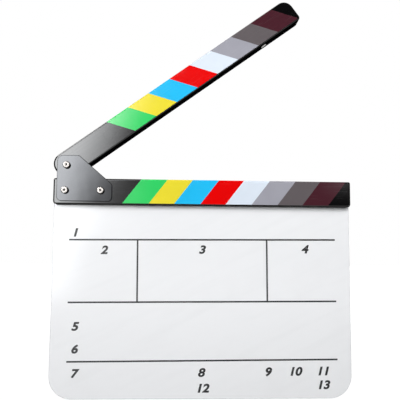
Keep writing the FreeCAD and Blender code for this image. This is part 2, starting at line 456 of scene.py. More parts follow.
def matte_clapping_side(colours, name, placing):
    """Dead black, a little dented, on the sides that clap and on the arm's upper side and heel."""
    tree, places = new_finish(name + "_clapping_side", placing)
    dents = patches(tree, places, 6, 3, 3, detail=4, low=0.55, high=0.7)
    grain = noise(tree, places, 30, 0.8, 0.8, detail=3)
    return close_finish(tree, {
        "Base Color": mix(tree, 0.15 * dents, colours.lacquer, colours.scuff),
        "Roughness": 0.7 + 0.2 * grain,
        "Specular IOR Level": 0.0,
        "Normal": bump(tree, dents, 0.05 * MM),
    })


def striped_vinyl(sizes, colours, name, placing, stripe_start):
    """Glossy vinyl for labels and rims, in slanted stripes that lean back from the edge that claps."""
    tree, places = new_finish(name + "_stripes", placing)
    x, _, z = xyz(tree, places)
    from_start = x + sizes.stripe_slant * abs(z) - stripe_start
    stripes = [getattr(colours, "stripe_" + stripe) for stripe in STRIPES]
    bands = [colours.lacquer, *stripes, colours.lacquer]
    count = len(bands)
    stops = [(number / count, band) for number, band in enumerate(bands)]
    share = (from_start / sizes.stripe_pitch + 1) / count
    printed = tree.node("ShaderNodeValToRGB", {"stops": stops}, {"Fac": share}, "Color")
    cloud = noise(tree, places, 18, detail=4)
    hairs = patches(tree, places, 24, 0.3, 0.3, detail=1, low=0.68, high=0.78)
    clouded = {0: printed, "Scale": 1.06 - 0.12 * cloud}
    dulled = tree.node("ShaderNodeVectorMath", {"operation": "SCALE"}, clouded)
    return close_finish(tree, {
        "Base Color": mix(tree, 0.05 * hairs, dulled, grey(0.8)),
        "Roughness": 0.06 + 0.05 * cloud + 0.1 * hairs,
        "Normal": bump(tree, cloud, 0.03 * MM),
    })


def painted_plate_face(colours):
    """Glossy black paint with a fine orange peel over a slightly wavy plate."""
    tree, places = new_finish("plate_face_paint")
    peel = noise(tree, places, 0.9, detail=1)
    waves = noise(tree, places, 15, detail=1)
    handled = patches(tree, places, 16, detail=4, low=0.45, high=0.75)
    hairs = patches(tree, places, 14, 1, 0.25, detail=1, low=0.7, high=0.8)
    return close_finish(tree, {
        "Base Color": mix(tree, 0.12 * handled + 0.2 * hairs, colours.paint, colours.primer),
        "Roughness": 0.03 + 0.05 * handled + 0.03 * peel,
        "Specular Tint": (0.95, 0.965, 1.0),
        "Normal": bump(tree, 0.05 * waves + 0.004 * peel, MM),
    })


def painted_plate_edge(colours):
    """The same paint on the plates' edges, rubbed through here and there."""
    tree, places = new_finish("plate_edge_paint")
    worn = edge_wear(tree, places, 4)
    return close_finish(tree, {
        "Base Color": mix(tree, 0.7 * worn, colours.paint, colours.primer),
        "Roughness": 0.45 + 0.1 * worn,
        "Metallic": 0.6 * worn,
        "Specular IOR Level": 0.2,
    })


def form_ink(colours):
    """Screen-printed black, a little uneven."""
    tree, places = new_finish("form_ink")
    cover = noise(tree, places, 2.5, detail=4)
    thin = [part + 0.03 for part in colours.ink]
    return close_finish(tree, {
        "Base Color": mix(tree, rise(tree, cover, 0.5, 0.8), colours.ink, thin),
        "Roughness": 0.3 + 0.25 * cover,
    })


def bare_metal(name, shade, roughness, mark_size):
    """Metal with handling marks of this size in millimetres, and painted shade, nearly black and not
    metallic, where the mesh marks it.
    """
    tree, places = new_finish(name)
    handling = noise(tree, places, mark_size, mark_size, 0.2 * mark_size, detail=4)
    tarnish = patches(tree, places, 3, detail=3, low=0.45, high=0.8)
    recess = marks(tree, "recess")
    tarnished = mix(tree, 0.5 * tarnish, shade, dimmed(shade, 0.7))
    return close_finish(tree, {
        # Painted shade: where the mesh marks it, the metal is painted nearly black and loses its metal
        # reflection
        "Base Color": mix(tree, recess, tarnished, dimmed(shade, 0.015)),
        "Metallic": 1 - recess,
        "Roughness": roughness + 0.12 * handling + 0.08 * tarnish,
        "Specular IOR Level": 0.0,
        "Normal": bump(tree, handling, 0.004 * MM),
    })


def natural_nylon(colours):
    """Milky nylon with darker clouds."""
    tree, places = new_finish("natural_nylon")
    cloud = noise(tree, places, 2, detail=3)
    return close_finish(tree, {
        "Base Color": mix(tree, cloud, colours.nylon, dimmed(colours.nylon, 0.85)),
        "Roughness": 0.4 + 0.2 * cloud,
    })


def studio_floor():
    """Pale floor that the camera and reflections see as white, with the object's shadow left on it."""
    tree, places = new_finish("studio_floor")
    camera, passed_on = ray_kinds(tree)
    seen = camera.maths("MAXIMUM", passed_on)
    paper = mix(tree, noise(tree, places, 400, detail=3), grey(0.62), grey(0.68))
    bouncing = grey(0.15)
    near, far = 0.3, 0.8
    distance = tree.node("ShaderNodeVectorMath", {"operation": "LENGTH"}, {0: places}, "Value")
    glowing = 0.8 + 0.2 * rise(tree, distance, near, far)
    lit = tree.node("ShaderNodeBsdfDiffuse", {}, {"Color": mix(tree, seen, bouncing, paper)})
    white = tree.node("ShaderNodeEmission", {}, {"Color": grey(1.0), "Strength": 1.15})
    surface = tree.node("ShaderNodeMixShader", {}, {"Fac": glowing * seen, 1: lit, 2: white})
    tree.node("ShaderNodeOutputMaterial", {}, {"Surface": surface})
    return tree.owner


# Mesh building blocks


def rounded_outline(corners, inset):
    """Points of a convex outline, anticlockwise, through corners (x, z, radius), moved in by the inset."""
    arcs = []
    for number, (x, z, radius) in enumerate(corners):
        corner = Vector((x, z))
        to_last = (Vector(corners[number - 1][:2]) - corner).normalized()
        to_next = (Vector(corners[(number + 1) % len(corners)][:2]) - corner).normalized()
        half_angle = to_last.angle(to_next) / 2
        centre = corner + (to_last + to_next).normalized() * (radius / math.sin(half_angle))
        turn = math.pi - 2 * half_angle
        start = math.atan2(to_last.x, -to_last.y)
        steps = max(2, round(turn / ARC_STEP))
        angles = [start + turn * step / steps for step in range(steps + 1)]
        arcs.append([centre + (radius - inset) * Vector((math.cos(a), math.sin(a))) for a in angles])
    points = []
    for arc, next_arc in zip(arcs, arcs[1:] + arcs[:1]):
        points += arc
        run = next_arc[0] - arc[-1]
        if run.length < SAME_PLACE:
            points.pop()
        elif run.length > 4 * HOLDING_DISTANCE:
            hold = run.normalized() * HOLDING_DISTANCE
            points += [arc[-1] + hold, next_arc[0] - hold]
    return points


def rim_sections(face, inward, rim, hold):
    """Sections (inset, y, edge mark) from a face over its rounded rim to the side."""
    sections = []
    for step in range(RIM_STEPS + 1):
        turn = math.pi / 2 * step / RIM_STEPS
        inset = rim * (1 - math.sin(turn))
        depth = rim * (1 - math.cos(turn))
        sections.append((inset, face + inward * depth, math.sin(2 * turn)))
    return sections + [(0, face + inward * (rim + hold), 0)]


def add_slab(mesh, corners, front, back, front_rim, back_rim, edge_slot=FACE):
    """Add a closed slab with rounded rims. Its vertex layer "edge" is 1 half way round a rim."""
    layers = mesh.verts.layers.float
    edge = layers.get("edge") or layers.new("edge")
    hold = min(HOLDING_DISTANCE, (back - front - front_rim - back_rim) / 4)
    sections = rim_sections(front, 1, front_rim, hold) + rim_sections(back, -1, back_rim, hold)[::-1]
    rings = []
    for inset, y, mark in sections:
        ring = [mesh.verts.new((point.x, y, point.y)) for point in rounded_outline(corners, inset)]
        for vertex in ring:
            vertex[edge] = mark
        rings.append(ring)
    for ring, next_ring in zip(rings, rings[1:]):
        for i in range(len(ring)):
            side = mesh.faces.new((ring[i], ring[i - 1], next_ring[i - 1], next_ring[i]))
            side.smooth = True
            side.material_index = edge_slot
    mesh.faces.new(rings[0])
    mesh.faces.new(rings[-1][::-1])


def add_box_slab(mesh, low, high, radii, rim, edge_slot=FACE):
    """Add a slab that fills a box, with radii for its corners, anticlockwise from the lower left."""
    places = (low.x, low.z), (high.x, low.z), (high.x, high.z), (low.x, high.z)
    corners = [(*place, radius) for place, radius in zip(places, radii)]
    add_slab(mesh, corners, low.y, high.y, rim, rim, edge_slot)


def finish_side(mesh, slot, *directions, spread=60, before=math.inf):
    """Give a finish to what faces within a spread, in degrees, of these directions and lies before an x."""
    bmesh.ops.recalc_face_normals(mesh, faces=mesh.faces[:])
    nearest = math.cos(math.radians(spread))
    towards = [Vector(direction).normalized() for direction in directions]
    for face in mesh.faces:
        faces_there = any(face.normal.dot(direction) > nearest for direction in towards)
        if faces_there and face.calc_center_median().x < before:
            face.material_index = slot


def add_box(mesh, low, high):
    placing = Matrix.Translation((low + high) / 2) @ Matrix.Diagonal((*(high - low), 1))
    bmesh.ops.create_cube(mesh, size=1, matrix=placing)


def add_rod(mesh, middle, axis, radius, rod_length):
    turn = UP.rotation_difference(axis).to_matrix().to_4x4()
    bmesh.ops.create_cone(
        mesh, cap_ends=True, segments=BORE_SIDES, radius1=radius, radius2=radius, depth=rod_length,
        matrix=Matrix.Translation(middle) @ turn,
    )


def add_screw_holes(tools, low, high, *screws):
    """Add rods that reach well through a box along the axes of these screws."""
    middle = (low.y + high.y) / 2
    reach = 4 * (high.y - low.y)
    for screw in screws:
        add_rod(tools, on_axis(screw, middle), THROUGH, SCREW_HOLE_RADIUS, reach)


def add_magnet_pocket(tools, magnet, placing):
    """Add a rod that sinks a magnet into the edge that claps of the stick with this placing."""
    low, high = own_box(magnet, placing)
    mouth = Vector(((low.x + high.x) / 2, (low.y + high.y) / 2, min(low.z, high.z, key=abs)))
    add_rod(tools, placing @ mouth, placing.to_3x3() @ UP, (high.x - low.x) / 2, 2 * (high.z - low.z))


def link_object(name, data):
    holder = bpy.data.objects.new(name, data)
    bpy.context.scene.collection.objects.link(holder)
    return holder


def make_piece(name, mesh, finishes, placing=None):
    """Turn a bmesh into a piece whose place is in its mesh."""
    if placing is not None:
        mesh.transform(placing)
    bmesh.ops.recalc_face_normals(mesh, faces=mesh.faces[:])
    data = bpy.data.meshes.new(name)
    mesh.to_mesh(data)
    mesh.free()
    for finish in finishes:
        data.materials.append(finish)
    return link_object(name, data)


def evaluated_mesh(holder):
    """A plain mesh of what an object's modifiers or curves make."""
    bpy.context.view_layer.update()
    graph = bpy.context.evaluated_depsgraph_get()
    return bpy.data.meshes.new_from_object(holder.evaluated_get(graph))


def keep_result(piece):
    """Replace a piece's mesh by what its modifiers make of it."""
    result = evaluated_mesh(piece)
    piece.modifiers.clear()
    piece.data = result


def bore(piece, tools):
    """Cut a bmesh of closed tool shapes out of a piece."""
    cutter = make_piece("boring_tools", tools, [])
    cut = piece.modifiers.new("Bore", "BOOLEAN")
    cut.operation = "DIFFERENCE"
    cut.solver = "EXACT"
    cut.object = cutter
    keep_result(piece)
    bpy.data.objects.remove(cutter)
    return piece


def settle(piece, body, slot, *nodes):
    """Let a piece ride on its body and stand for its CAD nodes, which it hides. The slot is not used."""
    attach(piece, body)
    if nodes:
        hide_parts(*nodes)


def dress(material, *nodes):
    """Give CAD nodes that stay in view a finish."""
    for node in nodes:
        slots = frame["nodes"][node].data.materials
        slots.clear()
        slots.append(material)


# Geometry Nodes: screws, nuts and washers

# Rings of a turned bar, which crowd towards its rounded upper rim, and sides of turned and bored forms
BAR_RINGS = 14
RING_CROWDING = 2.5
TURNED_SIDES = 64
HOLE_SIDES = 40

# The knurls round a screw's head, and the shares of its height between which they rise and fade
HEAD_SIDES = 96
KNURLS = 48
KNURL_DEPTH = 0.12 * MM
KNURL_RISE = (0.12, 0.2)
KNURL_FADE = (0.74, 0.82)

# A screw's shank: its fineness, the thread's depth as a share of its pitch, the taper and the seat
THREAD_SIDES = 28
RINGS_PER_TURN = 6
THREAD_DEPTH = 0.5
TAPER_LENGTH = 0.6 * MM
TAPER = 0.15
SHANK_SEAT = 0.3 * MM

# Painted shade: how dark a socket, a thread, a nut's sides and a nut's bore are painted, and the shares of
# the height over which the painted shade on a head's and a nut's sides fades out below the bright top
SOCKET_PAINTED_SHADE = 0.7
THREAD_PAINTED_SHADE = 0.85
NUT_SIDE_PAINTED_SHADE = 0.7
BORE_PAINTED_SHADE = 1.0
HEAD_SIDE_SHADE_FADE = (0.93, 0.995)
NUT_SIDE_SHADE_FADE = (0.8, 0.98)


def new_geometry_tree(name, inputs):
    """A tree that grows pieces on points, with its named inputs as wires."""
    group = bpy.data.node_groups.new(name, "GeometryNodeTree")
    lengths = dict.fromkeys(inputs, "Float")
    sockets = {"Places": "Geometry", **lengths, "Turn Seed": "Int", "Finish": "Material"}
    for label, kind in sockets.items():
        group.interface.new_socket(label, in_out="INPUT", socket_type="NodeSocket" + kind)
    group.interface.new_socket("Pieces", in_out="OUTPUT", socket_type="NodeSocketGeometry")
    tree = Tree(group)
    start = tree.node("NodeGroupInput")
    return tree, {label: start.output(label) for label in sockets}


def own_places(tree):
    return xyz(tree, tree.node("GeometryNodeInputPosition"))


def reshape(tree, geometry, x, y, z):
    """Move each point of a geometry to a place worked out from where it was."""
    place = tree.node("ShaderNodeCombineXYZ", {}, {"X": x, "Y": y, "Z": z})
    return tree.node("GeometryNodeSetPosition", {}, {"Geometry": geometry, "Position": place})


def bar(tree, sides, rings, radius, height):
    sizes = {"Vertices": sides, "Side Segments": rings, "Radius": radius, "Depth": height}
    return tree.node("GeometryNodeMeshCylinder", {"fill_type": "NGON"}, sizes, "Mesh")


def rounded_bar(tree, sides, radius, height, rounding, knurls=0):
    """A bar that stands on z = 0, with a rounded upper rim and, if asked, a knurled side."""
    x, y, z = own_places(tree)
    level = height * (1 - (0.5 - z / height) ** RING_CROWDING)
    over = ((level - height + rounding) / rounding).maths("MAXIMUM", 0.0)
    just_above_one = 1.0001
    shrink = rounding * (1 - (just_above_one - over * over).maths("SQRT"))
    if knurls:
        tooth = (y.maths("ARCTAN2", x) * knurls).maths("COSINE")
        share = level / height
        on_side = rise(tree, share, *KNURL_RISE) * (1 - rise(tree, share, *KNURL_FADE))
        shrink = shrink + KNURL_DEPTH * (0.5 - 0.5 * tooth) * on_side
    scale = 1 - shrink / radius
    return reshape(tree, bar(tree, sides, BAR_RINGS, radius, height), x * scale, y * scale, level)


def threaded_bar(tree, radius, depth, pitch):
    """A threaded shank that hangs down from z = 0 and ends in a short taper."""
    x, y, z = own_places(tree)
    turns = z / pitch + y.maths("ARCTAN2", x) / (2 * math.pi)
    flank = turns.maths("PINGPONG", 0.5) * 2
    taper = (1 - rise(tree, z + depth / 2, 0.0, TAPER_LENGTH)) * TAPER
    scale = 1 - flank * pitch * THREAD_DEPTH / radius - taper
    shank = bar(tree, THREAD_SIDES, depth / pitch * RINGS_PER_TURN, radius, depth)
    return reshape(tree, shank, x * scale, y * scale, z - depth / 2)


def lifted(tree, geometry, height):
    shift = tree.node("ShaderNodeCombineXYZ", {}, {"Z": height})
    return tree.node("GeometryNodeTransform", {}, {"Geometry": geometry, "Translation": shift})


def minus(tree, geometry, tool):
    settings = {"operation": "DIFFERENCE", "solver": "EXACT"}
    return tree.node("GeometryNodeMeshBoolean", settings, {"Mesh 1": geometry, "Mesh 2": tool})


def combined(tree, operation, *geometries):
    settings = {"operation": operation, "solver": "EXACT"}
    return tree.node("GeometryNodeMeshBoolean", settings, {"Mesh 2": list(geometries)})


def mark_painted_shade(tree, geometry, darkness):
    """Mark how dark each face is painted, as painted shade for the metal's finish."""
    settings = {"data_type": "FLOAT", "domain": "FACE"}
    marking = {"Geometry": geometry, "Name": "recess", "Value": darkness}
    return tree.node("GeometryNodeStoreNamedAttribute", settings, marking)


def side_shade_share(tree, height, bright):
    """Share of painted shade: 1 on a form's sides, going over to 0 between two shares of its height, so that
    its top stays bright.
    """
    return 1 - rise(tree, own_places(tree)[2] / height, *bright)


def grow_on_places(tree, size, geometry, tilt):
    """End a tree: a copy of the geometry on each place, tilted to the hinge's axis and turned by chance."""
    turn = tree.node("FunctionNodeRandomValue", {"data_type": "FLOAT_VECTOR"}, {
        0: (tilt, 0, 0), 1: (tilt, 2 * math.pi, 0), "Seed": size["Turn Seed"],
    })
    rotation = tree.node("FunctionNodeEulerToRotation", {}, {0: turn})
    copies = tree.node("GeometryNodeInstanceOnPoints", {}, {
        "Points": size["Places"], "Instance": geometry, "Rotation": rotation,
    })
    plain = tree.node("GeometryNodeRealizeInstances", {}, {"Geometry": copies})
    finished = tree.node("GeometryNodeSetMaterial", {}, {"Geometry": plain, "Material": size["Finish"]})
    tree.node("NodeGroupOutput", {}, {"Pieces": finished})
    return tree


def cap_screw_tree():
    """Cap screws with a knurled head, a hexagon socket and a threaded shank."""
    tree, size = new_geometry_tree("Cap screws", [
        "Head Diameter", "Head Height", "Head Rounding", "Socket Width", "Socket Depth",
        "Shank Diameter", "Shank Length", "Thread Pitch",
    ])
    height = size["Head Height"]
    head = rounded_bar(tree, HEAD_SIDES, size["Head Diameter"] / 2, height, size["Head Rounding"], KNURLS)
    # Painted shade: the head's side is painted dark up to near its top, and the socket and the thread are
    # painted dark too
    head = mark_painted_shade(tree, head, side_shade_share(tree, height, HEAD_SIDE_SHADE_FADE))
    socket = bar(tree, 6, 1, size["Socket Width"] / math.sqrt(3), size["Socket Depth"] * 2)
    socket = mark_painted_shade(tree, socket, SOCKET_PAINTED_SHADE)
    head = minus(tree, head, lifted(tree, socket, height))
    shank = threaded_bar(tree, size["Shank Diameter"] / 2, size["Shank Length"], size["Thread Pitch"])
    shank = mark_painted_shade(tree, shank, THREAD_PAINTED_SHADE)
    screw = combined(tree, "UNION", head, lifted(tree, shank, SHANK_SEAT))
    return grow_on_places(tree, size, screw, math.pi / 2)


def hexagon_nut_tree():
    """Hexagon nuts whose outer corners are turned down."""
    tree, size = new_geometry_tree("Hexagon nuts", ["Width", "Height", "Bore", "Rounding"])
    height = size["Height"]
    corner_radius = size["Width"] / math.sqrt(3)
    block = lifted(tree, bar(tree, 6, 1, corner_radius, height), height / 2)
    turned = rounded_bar(tree, TURNED_SIDES, corner_radius, height, size["Rounding"])
    nut = combined(tree, "INTERSECT", block, turned)
    # Painted shade: the nut's sides are painted darker up to near its top, and its bore black
    nut = mark_painted_shade(tree, nut, NUT_SIDE_PAINTED_SHADE * side_shade_share(tree, height, NUT_SIDE_SHADE_FADE))
    hole = mark_painted_shade(tree, bar(tree, HOLE_SIDES, 1, size["Bore"] / 2, height * 4), BORE_PAINTED_SHADE)
    return grow_on_places(tree, size, minus(tree, nut, hole), -math.pi / 2)


def washer_tree():
    """Plain washers with a rounded rim."""
    tree, size = new_geometry_tree("Washers", ["Diameter", "Thickness", "Bore", "Rounding"])
    disc = rounded_bar(tree, TURNED_SIDES, size["Diameter"] / 2, size["Thickness"], size["Rounding"])
    hole = bar(tree, HOLE_SIDES, 1, size["Bore"] / 2, size["Thickness"] * 4)
    return grow_on_places(tree, size, minus(tree, disc, hole), -math.pi / 2)


def grow(name, tree, places, values):
    """Run a tree on these places and keep the result as a plain mesh."""
    points = bpy.data.meshes.new(name)
    points.from_pydata(places, [], [])
    piece = link_object(name, points)
    modifier = piece.modifiers.new("Grow", "NODES")
    modifier.node_group = tree.graph
    for item in tree.graph.interface.items_tree:
        if item.in_out == "INPUT" and item.name in values:
            modifier[item.identifier] = values[item.name]
    keep_result(piece)
    if not piece.data.polygons:
        raise RuntimeError(f"{name} has no faces")
    piece.data.shade_smooth()
    piece.data.set_sharp_from_angle(angle=SHARP_ANGLE)
    return piece


# Operators, one for each piece or group of like pieces


class SLATE_OT_board(bpy.types.Operator):
    """Build the white writing board"""

    bl_idname = "slate.board"
    bl_label = "Board"

    def execute(self, context):
        sizes, colours = context.scene.slate_sizes, context.scene.slate_colours
        low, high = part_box("slate_board")
        hidden_corner = 2 * sizes.board_rim
        radii = (sizes.board_corner, sizes.board_corner, hidden_corner, hidden_corner)
        mesh = bmesh.new()
        add_box_slab(mesh, low, high, radii, sizes.board_rim, EDGE)
        board = make_piece("writing_board", mesh, [dry_wipe_face(colours), sawn_acrylic(colours)])
        tools = bmesh.new()
        add_screw_holes(tools, low, high, *PLATE_SCREWS, *BOARD_SCREWS)
        settle(bore(board, tools), SLATE, "white_acrylic", "slate_board")
        return {"FINISHED"}


class SLATE_OT_form(bpy.types.Operator):
    """Print the form's lines and field numerals on the board"""

    bl_idname = "slate.form"
    bl_label = "Printed form"

    # Places on the board in millimetres, each numeral by its lower left corner
    left, right = -132.8, 134.7
    line_heights = (155.3, 93.7, 36.6)
    dividers = (-64.9, 64.9)
    numerals = (
        ("1", -130.3, 158.7),
        ("2", -101.3, 141.4), ("3", -3.8, 141.7), ("4", 100.2, 142.1),
        ("5", -128.8, 66.7), ("6", -128.8, 44.9), ("7", -128.8, 21.7),
        ("8", -4.8, 21.4), ("9", 61.2, 21.5), ("10", 85.2, 21.6), ("11", 113.2, 21.7),
        ("12", -6.8, 6.4), ("13", 113.2, 8.4),
    )
    tilt = math.radians(0.43)
    ink_depth = 0.08 * MM
    ink_seat = 0.02 * MM
    line_corner = 0.3 * MM
    line_rim = 0.02 * MM

    # The numerals' height as a share of the font's size, their slope, boldness, stretch and fineness
    height_share = 0.72
    slope = 0.22
    boldness = 0.055
    stretch = 1.15
    curve_steps = 6
    merging_distance = 0.001 * MM

    def bars(self, width):
        """Left, lower, right and upper border of each printed line, in millimetres."""
        half = width / 2
        for height in self.line_heights:
            yield self.left, height - half, self.right, height + half
        for x in self.dividers:
            yield x - half, self.line_heights[1], x + half, self.line_heights[0]

    def numeral_mesh(self, text, height):
        """A bold slanted numeral as a closed mesh, standing up and facing the viewer."""
        curve = bpy.data.curves.new("numeral", "FONT")
        curve.body = text
        curve.size = height / self.height_share
        curve.shear = self.slope
        curve.offset = self.boldness * height
        curve.extrude = (self.ink_depth + self.ink_seat) / 2
        curve.resolution_u = self.curve_steps
        writing = link_object("numeral", curve)
        data = evaluated_mesh(writing)
        bpy.data.objects.remove(writing)
        data.transform(Matrix.Rotation(math.pi / 2, 4, "X") @ Matrix.Diagonal((self.stretch, 1, 1, 1)))
        return data

    def execute(self, context):
        sizes, colours = context.scene.slate_sizes, context.scene.slate_colours
        ink = form_ink(colours)
        board_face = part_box("slate_board")[0].y
        front, back = board_face - self.ink_depth, board_face + self.ink_seat
        centre = Matrix.Translation((0, 0, self.line_heights[1] * MM))
        tilted = centre @ Matrix.Rotation(-self.tilt, 4, "Y") @ centre.inverted()
        lines = bmesh.new()
        for left, lower, right, upper in self.bars(sizes.form_line / MM):
            low, high = Vector((left * MM, front, lower * MM)), Vector((right * MM, back, upper * MM))
            add_box_slab(lines, low, high, [self.line_corner] * 4, self.line_rim)
        settle(make_piece("form_lines", lines, [ink], tilted), SLATE, "white_acrylic")
        numerals = bmesh.new()
        for text, x, z in self.numerals:
            data = self.numeral_mesh(text, sizes.numeral_height)
            data.transform(Matrix.Translation((x * MM, (front + back) / 2, z * MM)))
            numerals.from_mesh(data)
            bpy.data.meshes.remove(data)
        bmesh.ops.remove_doubles(numerals, verts=numerals.verts[:], dist=self.merging_distance)
        settle(make_piece("form_numerals", numerals, [ink], tilted), SLATE, "white_acrylic")
        return {"FINISHED"}


class SLATE_OT_sticks(bpy.types.Operator):
    """Build the lower stick and the clapping arm"""

    bl_idname = "slate.sticks"
    bl_label = "Sticks"

    # How far the groove's tool passes the board, how long a board screw's is, and the heel's matte share
    groove_overrun = 10 * MM
    board_screw_recess = 3 * MM
    heel_share = 0.85

    def execute(self, context):
        sizes, colours = context.scene.slate_sizes, context.scene.slate_colours
        radii = [sizes.stick_lower_corner] * 2 + [sizes.stick_upper_corner] * 2
        lower = self.blank(sizes, *own_box("lower_stick", LOWER_FRAME), radii)
        finish_side(lower, EDGE, (0, -1, -1), spread=35)
        finish_side(lower, MATTE, (0, 0, 1))
        finish_side(lower, STRIPED, (0, -1, 1), spread=38)
        finishes = self.finishes(sizes, colours, "lower", LOWER_FRAME, sizes.lower_stripe_start)
        lower = make_piece("lower_clap_stick", lower, finishes, LOWER_FRAME)
        settle(bore(lower, self.lower_tools(sizes)), SLATE, "black_lacquered_wood", "lower_stick")

        low, high = own_box("arm_stick", ARM_FRAME)
        radii = [sizes.heel_corner, sizes.tip_lower_corner, sizes.tip_upper_corner, sizes.heel_corner]
        arm = self.blank(sizes, low, high, radii)
        heel_end = low.x + self.heel_share * sizes.heel_corner
        finish_side(arm, STRIPED, (0, -1, 1), spread=38)
        finish_side(arm, MATTE, (-0.5, -1, 0.9), (-1, -1, 0.3), spread=44, before=heel_end)
        finish_side(arm, MATTE, (0, 0, 1), spread=20)
        finish_side(arm, MATTE, (0, 0, -1))
        finishes = self.finishes(sizes, colours, "arm", ARM_FRAME, sizes.arm_stripe_start)
        arm = make_piece("clap_arm_stick", arm, finishes, ARM_FRAME)
        settle(bore(arm, self.arm_tools()), ARM, "black_lacquered_wood", "arm_stick")
        return {"FINISHED"}

    def blank(self, sizes, low, high, radii):
        """A stick in its own frame, glossy in front and duller elsewhere."""
        mesh = bmesh.new()
        add_box_slab(mesh, low, high, radii, sizes.stick_rim, EDGE)
        finish_side(mesh, EDGE, (0, 1, 0))
        finish_side(mesh, FACE, (0, -1, 0))
        return mesh

    def finishes(self, sizes, colours, name, placing, stripe_start):
        """The stick's face, edges and clapping side, and the stripes carried on over a rim."""
        makers = (lacquered_face, lacquered_edge, matte_clapping_side)
        plain = [make(colours, name, placing) for make in makers]
        return [*plain, striped_vinyl(sizes, colours, name + "_rim", placing, stripe_start)]

    def lower_tools(self, sizes):
        """The board's groove, the screw holes and the magnet's pocket."""
        tools = bmesh.new()
        board_low, board_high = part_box("slate_board")
        past, play = self.groove_overrun, sizes.groove_play
        groove_low = Vector((board_low.x - past, board_low.y - play, stick_low.z - past))
        groove_high = Vector((board_high.x + past, board_high.y + play, board_high.z))
        add_box(tools, groove_low, groove_high)
        add_screw_holes(tools, stick_low, stick_high, *PLATE_SCREWS)
        for screw in BOARD_SCREWS:
            low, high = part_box(screw)
            add_rod(tools, on_axis(screw, high.y), THROUGH, (high.x - low.x) / 2, self.board_screw_recess)
        add_magnet_pocket(tools, "lower_magnet", LOWER_FRAME)
        return tools

    def arm_tools(self):
        """The bush's bore and the magnet's pocket."""
        tools = bmesh.new()
        low, high = own_box("pivot_bush", ARM_FRAME)
        add_rod(tools, PIVOT, THROUGH, (high.x - low.x) / 2, 4 * (high.y - low.y))
        add_magnet_pocket(tools, "arm_magnet", ARM_FRAME)
        return tools


class SLATE_OT_labels(bpy.types.Operator):
    """Build the striped labels on both sticks"""

    bl_idname = "slate.labels"
    bl_label = "Stripe labels"

    rim = 0.05 * MM

    def execute(self, context):
        sizes, colours = context.scene.slate_sizes, context.scene.slate_colours
        corner = sizes.label_corner
        inset = own_box("arm_stick", ARM_FRAME)[1].x - own_box("arm_stripe_label", ARM_FRAME)[1].x
        arm_tip = (sizes.tip_lower_corner - inset, sizes.tip_upper_corner - inset)
        for name, body, placing, tip, start in (
            ("lower", SLATE, LOWER_FRAME, (corner, corner), sizes.lower_stripe_start),
            ("arm", ARM, ARM_FRAME, arm_tip, sizes.arm_stripe_start),
        ):
            node = name + "_stripe_label"
            mesh = bmesh.new()
            add_box_slab(mesh, *own_box(node, placing), (corner, *tip, corner), self.rim)
            vinyl = striped_vinyl(sizes, colours, name, placing, start)
            settle(make_piece(name + "_stripes", mesh, [vinyl], placing), body, "stripe_vinyl", node)
        return {"FINISHED"}


class SLATE_OT_plates(bpy.types.Operator):
    """Build the hinge plates on both faces"""

    bl_idname = "slate.plates"
    bl_label = "Hinge plates"

    # Radii of the plates' corners and of the rims that lie on the sticks
    bottom_left = 5.0 * MM
    bottom_right = 4.5 * MM
    shoulder = 5.0 * MM
    top_right = 3.0 * MM
    top_left = 6.0 * MM
    inner_rim = 0.1 * MM

    def execute(self, context):
        sizes, colours = context.scene.slate_sizes, context.scene.slate_colours
        finishes = [painted_plate_face(colours), painted_plate_edge(colours)]
        for side, front_rim, back_rim in (
            ("front", sizes.plate_rim, self.inner_rim),
            ("rear", self.inner_rim, sizes.plate_rim),
        ):
            node = side + "_hinge_plate"
            low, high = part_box(node)
            mesh = bmesh.new()
            add_slab(mesh, [
                (low.x, low.z, self.bottom_left),
                (high.x, low.z, self.bottom_right),
                (high.x, low.z + sizes.plate_right_height, self.shoulder),
                (low.x + sizes.plate_top_width, high.z, self.top_right),
                (low.x, high.z, self.top_left),
            ], low.y, high.y, front_rim, back_rim, EDGE)
            plate = make_piece(side + "_plate", mesh, finishes)
            tools = bmesh.new()
            add_screw_holes(tools, low, high, "pivot_screw", *PLATE_SCREWS)
            settle(bore(plate, tools), SLATE, "black_painted_steel", node)
        return {"FINISHED"}


